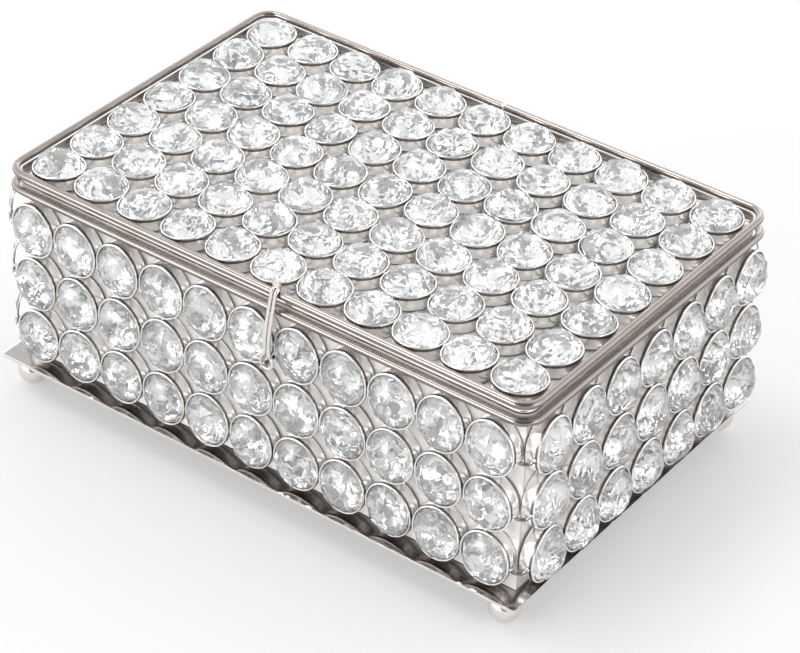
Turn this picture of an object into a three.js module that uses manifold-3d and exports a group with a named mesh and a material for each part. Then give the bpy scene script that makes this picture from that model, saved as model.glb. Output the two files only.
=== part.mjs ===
// A trinket box clad in faceted stones: a sheet-metal case on four ball feet, a hinged lid, and a wire hasp.
// Millimetres, +Z up. The origin is on the ground under the middle of the box; the hasp is on the -Y side.
import * as THREE from "three";
import { mergeVertices } from "three/addons/utils/BufferGeometryUtils.js";
import Module from "manifold-3d";

// ---- Driving dimensions ----
const GAP = 0.3; // between pieces that are soldered or rest on each other

// Stones: each sits in a short ring, and the rings are soldered side by side into rows.
const PITCH = 17; // ring to ring, on the lid and along the long sides
const PITCH_ACROSS = 17.2; // ring to ring, along the short sides
const PITCH_UP = 19.6; // row to row, on the sides
const RING_HALF = PITCH / 2 - GAP / 2;
const RING_HALF_UP = 9.35; // the side rings stand slightly taller than wide
const RING_DEPTH = 4.4;
const CROWN = 5; // how far a stone's point stands out of its ring
const SHOULDER = { reach: 0.72, rise: 0.62 }; // where the crown bends, as shares of the ring and the crown
const STONE_SIDES = 10;
const LUG = { length: 3, width: 2.4, depth: 3, lift: 0.7 }; // solder between two rings

const COLUMNS = 11;
const LID_ROWS = 7;
const SIDE_ROWS = 3;

// Heights
const FOOT_R = 5;
const FOOT_FLAT = 1.8; // radius of the flat that the foot stands on
const FOOT_TOP = 9;
const PLATE_Z = FOOT_TOP + GAP;
const PLATE_T = 1.2;
const DECK = PLATE_Z + PLATE_T; // top of the base plate
const FIRST_ROW = DECK + 1.6 + RING_HALF_UP;
const WALL_TOP = 70.8;
const RIM_Z = 72; // centre of the wire round the case
const LID_WIRE_Z = 77.6;

// Plan, as half sizes
const PLATE = { x: 98.2, front: 67.2, back: 59.9 }; // it stands out in front and is flush at the back
const WALL = { x: 93.4, y: 59.6, t: 0.8 };
const RIM_WIRE = { x: 96.3, y: 62.3 };
const LID_WIRE = { x: 95.9, y: 61.9 };
const WIRE_R = 1.2;
const WIRE_CORNER = 6;
const FLANGE = { x: 94.8, y: 60.8, inX: 91.5, inY: 57.7, t: 0.7 };
const SKIRT = { x: 94.4, y: 60.4, t: 0.5, h: 3.7 };
const LID_PLATE_T = 0.8;
const LINING_T = 1.2;
const FLOOR_PAD_T = 2.4;
const LID_PAD = { x: 90.4, y: 56.6, t: 1.1 };

// Hinges, behind the case
const HINGE = { x: 50, y: 65.4, z: 74.8, r: 1.7, bore: 1.05, pin: 0.75 };
const KNUCKLE = 5; // length of the lid's knuckle
const EAR = 4; // length of each of the case's two knuckles
const LEAF_T = 0.8;

// Hasp and stud, between the sixth and the seventh column
const HASP = { x: PITCH / 2, r: 0.6, legs: 0.75, reach: 5.2, eyeZ: 56.3, eye: 2.0 };
const STUD = { post: 0.6, head: 1.1, length: 8.7 };

// ---- Finishes ----
const finish = (color, roughness, metalness) =>
  new THREE.MeshStandardMaterial({ color, roughness, metalness });
const nickelWire = finish(0xa79f99, 0.2, 1);
const nickelSheet = finish(0xd6d3cf, 0.18, 1);
const stone = finish(0xe9edef, 0.08, 0.1);
const velvet = finish(0x8f8c92, 0.95, 0);

// ---- Solids ----
const wasm = await Module();
wasm.setup();

function toSolid(geometry) {
  const bare = geometry.index ? geometry.toNonIndexed() : geometry.clone();
  bare.deleteAttribute("normal");
  bare.deleteAttribute("uv");
  const merged = mergeVertices(bare, 1e-4);
  return new wasm.Manifold(
    new wasm.Mesh({
      numProp: 3,
      vertProperties: merged.attributes.position.array,
      triVerts: new Uint32Array(merged.index.array),
    }),
  );
}

function toGeometry(solid) {
  const mesh = solid.getMesh();
  const geometry = new THREE.BufferGeometry();
  geometry.setAttribute("position", new THREE.BufferAttribute(mesh.vertProperties, 3));
  geometry.setIndex(new THREE.BufferAttribute(mesh.triVerts, 1));
  geometry.computeVertexNormals();
  return geometry;
}

const joined = (geometries) =>
  toGeometry(geometries.map(toSolid).reduce((whole, next) => whole.add(next)));

// ---- Shapes used more than once ----
const box = (x, y, z) => new THREE.BoxGeometry(x, y, z);

// A route that passes straight from point to point, so a long run costs one step.
class Route extends THREE.Curve {
  constructor(points) {
    super();
    this.points = points;
  }
  getPoint(t) {
    const last = this.points.length - 1;
    const at = Math.min(t * last, last);
    const i = Math.min(Math.floor(at), last - 1);
    return this.points[i].clone().lerp(this.points[i + 1], at - i);
  }
  getUtoTmapping(u) {
    return u;
  }
}

function circle(radius, sides) {
  const turn = (i) => (2 * Math.PI * i) / sides;
  const corner = (i) => new THREE.Vector2(Math.cos(turn(i)), Math.sin(turn(i)));
  return new THREE.Shape(Array.from({ length: sides }, (_, i) => corner(i).multiplyScalar(radius)));
}

const rod = (points, radius, sides) =>
  new THREE.ExtrudeGeometry(circle(radius, sides), {
    extrudePath: new Route(points),
    steps: points.length - 1,
    bevelEnabled: false,
  });

// Points round a rectangle with round corners, from just after the middle of the back edge to just before it.
function roundedRoute(halfX, halfY, corner, steps) {
  const points = [new THREE.Vector3(-GAP / 2, halfY, 0)];
  const corners = [
    [-1, 1, Math.PI / 2],
    [-1, -1, Math.PI],
    [1, -1, 1.5 * Math.PI],
    [1, 1, 2 * Math.PI],
  ];
  for (const [sx, sy, start] of corners) {
    for (let i = 0; i <= steps; i++) {
      const a = start + (i / steps) * (Math.PI / 2);
      const x = sx * (halfX - corner) + corner * Math.cos(a);
      const y = sy * (halfY - corner) + corner * Math.sin(a);
      points.push(new THREE.Vector3(x, y, 0));
    }
  }
  points.push(new THREE.Vector3(GAP / 2, halfY, 0));
  return points;
}

function roundedOutline(halfX, halfY, corner, kind = THREE.Shape) {
  const outline = new kind();
  outline.moveTo(halfX - corner, halfY);
  outline.absarc(-(halfX - corner), halfY - corner, corner, Math.PI / 2, Math.PI, false);
  outline.absarc(-(halfX - corner), -(halfY - corner), corner, Math.PI, 1.5 * Math.PI, false);
  outline.absarc(halfX - corner, -(halfY - corner), corner, -Math.PI / 2, 0, false);
  outline.absarc(halfX - corner, halfY - corner, corner, 0, Math.PI / 2, false);
  return outline;
}

const slab = (outline, thickness) =>
  new THREE.ExtrudeGeometry(outline, { depth: thickness, bevelEnabled: false, curveSegments: 3 });

function strip(outer, inner, thickness) {
  outer.holes.push(inner);
  return slab(outer, thickness);
}

// ---- The scene graph ----
const trinketBox = new THREE.Group();
const casePieces = new THREE.Group();
const lidPieces = new THREE.Group();
trinketBox.add(casePieces, lidPieces);

function piece(parent, name, geometry, material, x = 0, y = 0, z = 0) {
  const mesh = new THREE.Mesh(geometry, material);
  mesh.name = name;
  mesh.position.set(x, y, z);
  parent.add(mesh);
  return mesh;
}

// ---- Rows of stones in rings ----
// A row lies along x, its stones point along +z, and z = 0 is the back of the rings.
function stoneRow(count, pitch, halfUp) {
  const parts = [];
  const start = (-(count - 1) / 2) * pitch;
  for (let i = 0; i < count; i++) {
    const profile = [
      new THREE.Vector2(0, 0),
      new THREE.Vector2(RING_HALF, 0),
      new THREE.Vector2(RING_HALF, RING_DEPTH),
      new THREE.Vector2(SHOULDER.reach * RING_HALF, RING_DEPTH + SHOULDER.rise * CROWN),
      new THREE.Vector2(0, RING_DEPTH + CROWN),
    ];
    const set = new THREE.LatheGeometry(profile, STONE_SIDES);
    set.rotateX(Math.PI / 2);
    set.scale(1, halfUp / RING_HALF, 1);
    set.translate(start + i * pitch, 0, 0);
    parts.push(set);
    if (i > 0) {
      const lug = box(LUG.length, LUG.width, LUG.depth);
      lug.translate(start + (i - 0.5) * pitch, 0, LUG.lift + LUG.depth / 2);
      parts.push(lug);
    }
  }
  return joined(parts);
}

// The rows of one side stand one above the other, on a group turned to face outwards.
function sideRows(side, turn, distance, row) {
  const face = new THREE.Group();
  face.rotation.z = turn;
  casePieces.add(face);
  for (let r = 0; r < SIDE_ROWS; r++) {
    const z = FIRST_ROW + r * PITCH_UP;
    const mesh = piece(face, `stone_row_${side}_${r + 1}`, row, stone, 0, -distance, z);
    mesh.rotation.x = Math.PI / 2;
  }
}

function stoneCladding() {
  const longRow = stoneRow(COLUMNS, PITCH, RING_HALF_UP);
  const shortRow = stoneRow(LID_ROWS, PITCH_ACROSS, RING_HALF_UP);
  const lidRow = stoneRow(COLUMNS, PITCH, RING_HALF);
  const off = GAP + 0.1;
  sideRows("front", 0, WALL.y + off, longRow);
  sideRows("right", Math.PI / 2, WALL.x + off, shortRow);
  sideRows("back", Math.PI, WALL.y + off, longRow);
  sideRows("left", -Math.PI / 2, WALL.x + off, shortRow);
  const ringBack = LID_WIRE_Z - RING_DEPTH;
  for (let r = 0; r < LID_ROWS; r++) {
    const y = (r - (LID_ROWS - 1) / 2) * PITCH;
    piece(lidPieces, `stone_row_lid_${r + 1}`, lidRow, stone, 0, y, ringBack);
  }
}

// Bent wire links, one per row, hold the end rings of two faces together at each upright corner.
function cornerLinks() {
  const corners = { front_right: [1, -1], back_right: [1, 1], back_left: [-1, 1], front_left: [-1, -1] };
  const sag = 1.6;
  for (const [corner, [sx, sy]] of Object.entries(corners)) {
    const link = rod(
      [
        new THREE.Vector3(sx * (WALL.x + 0.5), sy * (WALL.y + 4.0), 0),
        new THREE.Vector3(sx * (WALL.x + 1.2), sy * (WALL.y + 3.2), -sag * 0.8),
        new THREE.Vector3(sx * (WALL.x + 2.2), sy * (WALL.y + 2.3), -sag),
        new THREE.Vector3(sx * (WALL.x + 3.3), sy * (WALL.y + 1.6), -sag * 0.8),
        new THREE.Vector3(sx * (WALL.x + 4.2), sy * (WALL.y + 0.9), 0),
      ],
      0.55,
      6,
    );
    for (let r = 0; r < SIDE_ROWS; r++) {
      const z = FIRST_ROW + r * PITCH_UP;
      piece(casePieces, `corner_link_${corner}_${r + 1}`, link, nickelWire, 0, 0, z);
    }
  }
}

// ---- Case ----
function foot() {
  const centre = Math.sqrt(FOOT_R ** 2 - FOOT_FLAT ** 2);
  const arcs = 8;
  const low = Math.asin(-centre / FOOT_R);
  const high = Math.asin((FOOT_TOP - centre) / FOOT_R);
  const profile = [new THREE.Vector2(0, 0)];
  for (let i = 0; i <= arcs; i++) {
    const a = low + (i / arcs) * (high - low);
    profile.push(new THREE.Vector2(FOOT_R * Math.cos(a), centre + FOOT_R * Math.sin(a)));
  }
  profile.push(new THREE.Vector2(0, FOOT_TOP));
  const ball = new THREE.LatheGeometry(profile, 12);
  ball.rotateX(Math.PI / 2);
  return ball;
}

function feet() {
  const inset = { x: 7.2, y: 6.2 };
  const ball = foot();
  const corners = { front_left: [-1, -1], front_right: [1, -1], back_left: [-1, 1], back_right: [1, 1] };
  for (const [corner, [sx, sy]] of Object.entries(corners)) {
    const edge = sy < 0 ? PLATE.front : PLATE.back;
    piece(casePieces, `foot_${corner}`, ball, nickelSheet, sx * (PLATE.x - inset.x), sy * (edge - inset.y));
  }
}

function caseShell() {
  const basePlate = box(2 * PLATE.x, PLATE.front + PLATE.back, PLATE_T);
  const plateY = (PLATE.back - PLATE.front) / 2;
  piece(casePieces, "base_plate", basePlate, nickelSheet, 0, plateY, PLATE_Z + PLATE_T / 2);
  const low = DECK + GAP;
  const height = WALL_TOP - low;
  const z = low + height / 2;
  const longWall = box(2 * WALL.x, WALL.t, height);
  const shortWall = box(WALL.t, 2 * (WALL.y - WALL.t - GAP), height);
  piece(casePieces, "wall_front", longWall, nickelSheet, 0, -(WALL.y - WALL.t / 2), z);
  piece(casePieces, "wall_back", longWall, nickelSheet, 0, WALL.y - WALL.t / 2, z);
  piece(casePieces, "wall_left", shortWall, nickelSheet, -(WALL.x - WALL.t / 2), 0, z);
  piece(casePieces, "wall_right", shortWall, nickelSheet, WALL.x - WALL.t / 2, 0, z);
}

function caseRim() {
  const flange = strip(
    roundedOutline(FLANGE.x, FLANGE.y, 4),
    roundedOutline(FLANGE.inX, FLANGE.inY, 1.5, THREE.Path),
    FLANGE.t,
  );
  piece(casePieces, "rim_flange", flange, nickelSheet, 0, 0, WALL_TOP + GAP);
  const wire = rod(roundedRoute(RIM_WIRE.x, RIM_WIRE.y, WIRE_CORNER, 4), WIRE_R, 8);
  piece(casePieces, "rim_wire", wire, nickelWire, 0, 0, RIM_Z);
}

function lining() {
  const inX = WALL.x - WALL.t - GAP;
  const inY = WALL.y - WALL.t - GAP;
  const padZ = DECK + GAP;
  const low = padZ + FLOOR_PAD_T + GAP;
  const height = WALL_TOP - 0.2 - low;
  const z = low + height / 2;
  const long = box(2 * inX, LINING_T, height);
  const short = box(LINING_T, 2 * (inY - LINING_T - GAP), height);
  piece(casePieces, "lining_floor", box(2 * inX, 2 * inY, FLOOR_PAD_T), velvet, 0, 0, padZ + FLOOR_PAD_T / 2);
  piece(casePieces, "lining_front", long, velvet, 0, -(inY - LINING_T / 2), z);
  piece(casePieces, "lining_back", long, velvet, 0, inY - LINING_T / 2, z);
  piece(casePieces, "lining_left", short, velvet, -(inX - LINING_T / 2), 0, z);
  piece(casePieces, "lining_right", short, velvet, inX - LINING_T / 2, 0, z);
}

function stud() {
  const profile = [
    new THREE.Vector2(0, 0),
    new THREE.Vector2(STUD.post, 0),
    new THREE.Vector2(STUD.post, STUD.length - 1.5),
    new THREE.Vector2(STUD.head, STUD.length - 1),
    new THREE.Vector2(STUD.head, STUD.length - 0.4),
    new THREE.Vector2(0, STUD.length),
  ];
  const post = new THREE.LatheGeometry(profile, 10);
  const mesh = piece(casePieces, "hasp_stud", post, nickelWire, HASP.x, -(WALL.y + GAP), HASP.eyeZ);
  mesh.rotation.x = Math.PI;
}

// ---- Lid ----
function lid() {
  const plateZ = WALL_TOP + GAP + FLANGE.t + GAP;
  const corner = 4.4;
  const plate = slab(roundedOutline(SKIRT.x, SKIRT.y, corner), LID_PLATE_T);
  piece(lidPieces, "lid_plate", plate, nickelSheet, 0, 0, plateZ);
  const skirt = strip(
    roundedOutline(SKIRT.x, SKIRT.y, corner),
    roundedOutline(SKIRT.x - SKIRT.t, SKIRT.y - SKIRT.t, corner - SKIRT.t, THREE.Path),
    SKIRT.h,
  );
  piece(lidPieces, "lid_skirt", skirt, nickelSheet, 0, 0, plateZ + LID_PLATE_T + GAP);
  const pad = box(2 * LID_PAD.x, 2 * LID_PAD.y, LID_PAD.t);
  piece(lidPieces, "lid_lining", pad, velvet, 0, 0, plateZ - GAP - LID_PAD.t / 2);
  const wire = rod(roundedRoute(LID_WIRE.x, LID_WIRE.y, WIRE_CORNER, 4), WIRE_R, 8);
  piece(lidPieces, "lid_wire", wire, nickelWire, 0, 0, LID_WIRE_Z);
}

// ---- Hinges ----
// A knuckle is a short tube along x, centred on the pin.
function knuckle(length, x) {
  const ring = circle(HINGE.r, 12);
  ring.holes.push(new THREE.Path(circle(HINGE.bore, 12).getPoints()));
  const tube = slab(ring, length);
  tube.rotateY(Math.PI / 2);
  tube.translate(x - length / 2, 0, 0);
  return tube;
}

function hinge(side, x) {
  const earX = (KNUCKLE + EAR) / 2 + GAP;
  const span = KNUCKLE + 2 * EAR + 2 * GAP;
  const { y, z } = HINGE;

  const caseLeafY = RIM_WIRE.y + WIRE_R + GAP + LEAF_T / 2 - y;
  const ears = [-1, 1].map((s) => box(EAR, LEAF_T, 2).translate(s * earX, caseLeafY, -1.8));
  const caseTab = box(span, LEAF_T, 1.2).translate(0, caseLeafY, -2.8);
  const caseLeaf = joined([knuckle(EAR, -earX), knuckle(EAR, earX), ...ears, caseTab]);
  piece(casePieces, `hinge_${side}_case_leaf`, caseLeaf, nickelSheet, x, y, z);

  const lidLeafY = LID_WIRE.y + WIRE_R + GAP + LEAF_T / 2 - y;
  const neck = box(KNUCKLE, LEAF_T, 2).translate(0, lidLeafY, 1.8);
  const lidTab = box(span, LEAF_T, 1.6).translate(0, lidLeafY, 3.2);
  const lidLeaf = joined([knuckle(KNUCKLE, 0), neck, lidTab]);
  piece(lidPieces, `hinge_${side}_lid_leaf`, lidLeaf, nickelSheet, x, y, z);

  const pin = new THREE.CylinderGeometry(HINGE.pin, HINGE.pin, span + 0.8, 10);
  pin.rotateZ(Math.PI / 2);
  piece(casePieces, `hinge_${side}_pin`, pin, nickelWire, x, y, z);
}

// ---- Hasp ----
// One wire folded in half: the fold is the eye, the two legs run up together, pass over the lid wire
// and end in a pointed thumb tab. Its own frame is on the lid wire's centre.
function haspLeg(sx) {
  const eye = HASP.eyeZ - LID_WIRE_Z;
  const over = WIRE_R + GAP + HASP.r;
  const at = (x, y, z) => new THREE.Vector3(sx * x, y, z);
  const leg = [at(HASP.legs, 0.8, over + 1.4)];
  for (const degrees of [75, 100, 125, 150, 172]) {
    const a = THREE.MathUtils.degToRad(degrees);
    leg.push(at(HASP.legs, over * Math.cos(a), over * Math.sin(a)));
  }
  leg.push(at(HASP.legs, -HASP.reach, eye + 3.6));
  leg.push(at(HASP.eye * 0.75, -HASP.reach, eye + 1.9));
  leg.push(at(HASP.eye, -HASP.reach, eye + 0.3));
  leg.push(at(HASP.eye * 0.75, -HASP.reach, eye - 1.3));
  return leg;
}

function hasp() {
  const eye = HASP.eyeZ - LID_WIRE_Z;
  const bottom = new THREE.Vector3(0, -HASP.reach, eye - HASP.eye);
  const wire = rod([...haspLeg(-1), bottom, ...haspLeg(1).reverse()], HASP.r, 6);
  const outline = new THREE.Shape([
    new THREE.Vector2(-1.3, 0),
    new THREE.Vector2(1.3, 0),
    new THREE.Vector2(1.0, 2.4),
    new THREE.Vector2(0.3, 4),
    new THREE.Vector2(-0.3, 4),
    new THREE.Vector2(-1.0, 2.4),
  ]);
  const tab = slab(outline, 1).translate(0, 0, -0.5);
  tab.rotateX(THREE.MathUtils.degToRad(78));
  tab.translate(0, 0.4, WIRE_R + GAP + HASP.r + 0.2);
  piece(lidPieces, "hasp", joined([wire, tab]), nickelWire, HASP.x, -LID_WIRE.y, LID_WIRE_Z);
}

// ---- Assembly ----
feet();
caseShell();
caseRim();
lining();
stoneCladding();
cornerLinks();
stud();
lid();
hinge("left", -HINGE.x);
hinge("right", HINGE.x);
hasp();

export default trinketBox;
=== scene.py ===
# %% [markdown]
# # A trinket box clad in crystals
# A hinged metal box for rings and small jewellery. Every side and the lid carry faceted
# crystals, each held in a short metal ring, and the rings are soldered to one another.
# This lesson builds the looks of the box round a frame that is already fixed: the frame
# says where each piece is and which body it moves with, and never changes here.

# %% Load the frame
import math
import random

import bmesh
import bpy
from mathutils import Matrix, Vector, noise


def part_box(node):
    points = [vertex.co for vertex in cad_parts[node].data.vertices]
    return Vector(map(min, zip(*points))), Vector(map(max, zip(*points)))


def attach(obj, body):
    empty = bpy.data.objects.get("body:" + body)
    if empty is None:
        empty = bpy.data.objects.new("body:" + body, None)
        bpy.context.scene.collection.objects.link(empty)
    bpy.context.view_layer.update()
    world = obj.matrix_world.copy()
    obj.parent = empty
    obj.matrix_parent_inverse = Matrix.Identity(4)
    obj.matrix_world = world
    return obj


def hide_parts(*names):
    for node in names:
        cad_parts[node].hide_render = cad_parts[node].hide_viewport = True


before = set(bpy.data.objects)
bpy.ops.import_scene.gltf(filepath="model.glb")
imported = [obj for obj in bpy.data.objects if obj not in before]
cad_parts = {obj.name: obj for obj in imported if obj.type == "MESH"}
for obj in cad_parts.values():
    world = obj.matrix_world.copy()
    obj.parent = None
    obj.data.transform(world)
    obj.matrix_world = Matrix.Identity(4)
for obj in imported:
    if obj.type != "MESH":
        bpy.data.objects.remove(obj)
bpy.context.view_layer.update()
MM = 0.001

# %% [markdown]
# ## The camera
# A long lens flattens perspective and shows the box much as the eye sees it from across a
# table. The camera stands to the right of the front corner and looks down at the lid.
# It is placed by its aim, direction and distance, which are easier to adjust than a position.

# %% Place the camera
AIM = Vector((6.49, 0.47, 30.23)) * MM
AZIMUTH, ELEVATION, ROLL = (math.radians(a) for a in (35.96, 35.74, 1.68))
DISTANCE = 0.9007
LENS_MM = 131.56
NEAR, FAR = 0.01, 20


def add_camera():
    away = Vector(
        (
            math.sin(AZIMUTH) * math.cos(ELEVATION),
            -math.cos(AZIMUTH) * math.cos(ELEVATION),
            math.sin(ELEVATION),
        )
    )
    level = Vector((0, 0, 1)).cross(away).normalized()
    up = away.cross(level)
    right = level * math.cos(ROLL) + up * math.sin(ROLL)
    camera = bpy.data.objects.new("camera", bpy.data.cameras.new("camera"))
    camera.data.lens = LENS_MM
    camera.data.clip_start, camera.data.clip_end = NEAR, FAR
    turned = Matrix((right, away.cross(right), away)).transposed().to_4x4()
    camera.matrix_world = Matrix.Translation(AIM + away * DISTANCE) @ turned
    bpy.context.scene.collection.objects.link(camera)
    bpy.context.scene.camera = camera
    return camera


camera = add_camera()
print("camera at", [round(c, 3) for c in camera.matrix_world.translation])

# %% [markdown]
# ## Shader maths as plain expressions
# A node tree is quick to draw and slow to read. The small class below wraps a socket, so
# that `low + (high - low) * grain` builds the Math nodes by itself. Everything else comes
# from one method, `node`, which takes the node's type, its settings and its inputs.

# %% The socket class and the tree that it grows in
class Socket:
    """One output in a node tree. Arithmetic on it adds Math nodes."""

    def __init__(self, tree, output):
        self.tree, self.output = tree, output

    def maths(self, operation, *values):
        return self.tree.node("ShaderNodeMath", {"operation": operation}, dict(enumerate(values)))

    def __add__(self, other):
        return self.maths("ADD", self, other)

    def __mul__(self, other):
        return self.maths("MULTIPLY", self, other)

    __radd__ = __add__
    __rmul__ = __mul__

    def __pow__(self, other):
        return self.maths("POWER", self, other)


class Tree:
    """A node tree, emptied, and the few ways in which this lesson adds to it."""

    def __init__(self, owner):
        owner.use_nodes = True
        self.owner, self.nodes, self.links = owner, owner.node_tree.nodes, owner.node_tree.links
        self.nodes.clear()

    def node(self, kind, settings=None, inputs=None, out=0):
        made = self.nodes.new(kind)
        for name, value in (settings or {}).items():
            if name == "stops":
                self.set_stops(made.color_ramp, value)
            else:
                setattr(made, name, value)
        for name, value in (inputs or {}).items():
            if isinstance(value, Socket):
                self.links.new(value.output, made.inputs[name])
            else:
                made.inputs[name].default_value = value
        return Socket(self, made.outputs[out])

    def set_stops(self, ramp, stops):
        while len(ramp.elements) < len(stops):
            ramp.elements.new(0.5)
        for element, (place, shade) in zip(ramp.elements, stops):
            element.position, element.color = place, (*shade, 1)

    def noise(self, scale, detail=2.0, stretch=(1, 1, 1), roughness=0.5):
        places = self.node("ShaderNodeTexCoord", out="Object")
        scaled = self.node("ShaderNodeVectorMath", {"operation": "MULTIPLY"}, {0: places, 1: stretch})
        inputs = {"Vector": scaled, "Scale": scale, "Detail": detail, "Roughness": roughness}
        return self.node("ShaderNodeTexNoise", None, inputs)

    def ramp(self, factor, *stops):
        return self.node("ShaderNodeValToRGB", {"stops": stops}, {"Fac": factor})

    def blend(self, factor, low, high):
        sides = {0: factor, 6: low, 7: high}
        return self.node("ShaderNodeMix", {"data_type": "RGBA"}, sides, out=2)

    def bump(self, height, strength, distance):
        inputs = {"Height": height, "Strength": strength, "Distance": distance}
        return self.node("ShaderNodeBump", None, inputs)

    def surface(self, **inputs):
        named = {name.replace("_", " "): value for name, value in inputs.items()}
        shader = self.node("ShaderNodeBsdfPrincipled", None, named)
        self.node_out("ShaderNodeOutputMaterial", shader)
        return self.owner

    def node_out(self, kind, shader):
        made = self.nodes.new(kind)
        self.links.new(shader.output, made.inputs["Surface"])


def colour(red, green, blue):
    return (red, green, blue, 1)


# %% [markdown]
# ## The table
# The box stands on a white table. A plain white plane would turn grey wherever the box
# shades it, so the table is given a faint glow of its own, like opal glass lit from below.
# It keeps the shadow soft and short, and it throws light up into the lower crystals.

# %% The floor
FLOOR_SIZE = 6.0
FLOOR_DARK, FLOOR_LIGHT = (0.40, 0.40, 0.40), (0.41, 0.41, 0.41)
FLOOR_GLOW = 0.34


def finish_floor():
    tree = Tree(bpy.data.materials.new("pale_table"))
    mottle = tree.noise(9, 3)
    shade = tree.blend(mottle, colour(*FLOOR_DARK), colour(*FLOOR_LIGHT))
    return tree.surface(
        Base_Color=shade,
        Roughness=0.6 + 0.1 * mottle,
        Specular_IOR_Level=0.0,
        Emission_Color=(1, 1, 1, 1),
        Emission_Strength=FLOOR_GLOW,
    )


def add_floor():
    half = FLOOR_SIZE / 2
    corners = [(-half, -half, 0), (half, -half, 0), (half, half, 0), (-half, half, 0)]
    mesh = bpy.data.meshes.new("table_top")
    mesh.from_pydata(corners, [], [(0, 1, 2, 3)])
    mesh.materials.append(finish_floor())
    floor = bpy.data.objects.new("table_top", mesh)
    bpy.context.scene.collection.objects.link(floor)


add_floor()
print("floor:", FLOOR_SIZE, "m across")

# %% [markdown]
# ## The room and the lamps
# Metal and crystal have hardly any colour of their own: they show the room. So the room is
# designed before the finishes. It is white low down and dimmer above, and it is darkest
# behind the viewer, which gives the wires their brown. Four soft lamps draw the highlights:
# one high on the left, two low fills and a strip at the back. An image of a real room would
# do this too, but a few ramps are easier to steer.

# %% The lamps and the room
SOFTBOXES = {  # place, height of the aim and size in metres, and radiance
    "key_left": ((-1.3, -0.3, 3.2), 0.03, (1.3, 1.1), 5.5),
    "fill_front": ((-0.9, -2.4, 0.8), 0.04, (1.8, 0.9), 4.2),
    "fill_right": ((2.5, -0.3, 0.7), 0.04, (1.2, 0.7), 2.0),
    "back_strip": ((-0.9, 2.2, 1.5), 0.05, (1.6, 0.4), 2.0),
}
DIM_SIDE = (0.49, -0.65, 0.58)  # the part of the room behind the viewer
ROOM_STRENGTH = 2.2
EXPOSURE = 0.22


def add_softbox(name, place, aim_height, size, radiance):
    lamp = bpy.data.lights.new(name, "AREA")
    lamp.shape, lamp.size, lamp.size_y = "RECTANGLE", *size
    lamp.energy = radiance * math.pi * size[0] * size[1]
    softbox = bpy.data.objects.new(name, lamp)
    softbox.location = place
    aim = Vector((0, 0, aim_height)) - Vector(place)
    softbox.rotation_euler = aim.to_track_quat("-Z", "Y").to_euler()
    bpy.context.scene.collection.objects.link(softbox)


def grey(value):
    return (value, value, value)


def light_room():
    world = bpy.data.worlds.new("studio")
    bpy.context.scene.world = world
    tree = Tree(world)
    direction = tree.node("ShaderNodeTexCoord", out="Generated")
    height = tree.node("ShaderNodeSeparateXYZ", None, {0: direction}, out=2)
    by_height = [(0.0, 1.0), (0.3, 1.0), (0.42, 0.55), (0.6, 0.6), (1.0, 0.45)]
    walls = tree.ramp(height, *((place, grey(value)) for place, value in by_height))
    facing = {0: direction, 1: DIM_SIDE}
    dim = tree.node("ShaderNodeVectorMath", {"operation": "DOT_PRODUCT"}, facing, out=1)
    dim = tree.ramp(dim, (0.72, grey(0)), (0.82, grey(1)))
    seen = tree.blend(dim, walls, colour(0.12, 0.112, 0.108))
    room = tree.node("ShaderNodeBackground", None, {"Color": seen, "Strength": ROOM_STRENGTH})
    tree.node_out("ShaderNodeOutputWorld", room)


light_room()
for name, row in SOFTBOXES.items():
    add_softbox(name, *row)
bpy.context.scene.view_settings.view_transform = "Standard"
bpy.context.scene.view_settings.exposure = EXPOSURE
print("lamps:", len(bpy.data.lights), "in a dim room above a white table")

# %% [markdown]
# ## A heap of shapes
# Rings and crystals come by the dozen, and a separate Blender object for each would be slow.
# A heap collects many small closed shapes in millimetres and turns them into one object,
# which rides on a body of the frame. Faces that meet at less than the crease angle are
# shaded as one smooth surface; a crease of 0 keeps every facet flat, as cut glass needs.

# %% The heap
def turn_outward(mesh):
    """Makes every face of every closed shape look out."""
    body = bmesh.new()
    body.from_mesh(mesh)
    bmesh.ops.recalc_face_normals(body, faces=body.faces)
    body.to_mesh(mesh)
    body.free()


class Heap:
    """Points and faces in millimetres, collected from many small shapes."""

    def __init__(self):
        self.points, self.faces, self.marks = [], [], []

    def add(self, points, faces, place=None, mark=0):
        start = len(self.points)
        placed = [place @ Vector(p) for p in points] if place else [Vector(p) for p in points]
        self.points += placed
        self.faces += [[start + i for i in face] for face in faces]
        self.marks += mark if isinstance(mark, list) else [mark] * len(faces)
        return self

    def piece(self, name, materials, body, slot, replaces=(), crease=35):
        mesh = bpy.data.meshes.new(name)
        mesh.from_pydata([p * MM for p in self.points], [], self.faces)
        for material in materials if isinstance(materials, list) else [materials]:
            mesh.materials.append(material)
        mesh.polygons.foreach_set("material_index", self.marks)
        mesh.polygons.foreach_set("use_smooth", [crease > 0] * len(self.faces))
        mesh.validate()
        turn_outward(mesh)
        if crease:
            mesh.set_sharp_from_angle(angle=math.radians(crease))
        made = bpy.data.objects.new(name, mesh)
        bpy.context.scene.collection.objects.link(made)
        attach(made, body)
        if replaces:
            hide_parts(*replaces)
        return made


# %% [markdown]
# ## Round shapes
# Rings, feet, pins and knuckles are all a profile turned about an axis, as on a lathe. A
# screw modifier could do it, but a function gives the points at once, ready for the heap.

# %% Shapes turned about an axis
def around(index, count):
    angle = 2 * math.pi * index / count
    return math.cos(angle), math.sin(angle)


def middle(node):
    low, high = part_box(node)
    return (low + high) / 2 / MM


def grid_faces(rows, columns, wrap_rows, wrap_columns):
    faces = []
    for r in range(rows if wrap_rows else rows - 1):
        for c in range(columns if wrap_columns else columns - 1):
            r2, c2 = (r + 1) % rows, (c + 1) % columns
            faces.append([r * columns + c, r * columns + c2, r2 * columns + c2, r2 * columns + c])
    return faces


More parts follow.
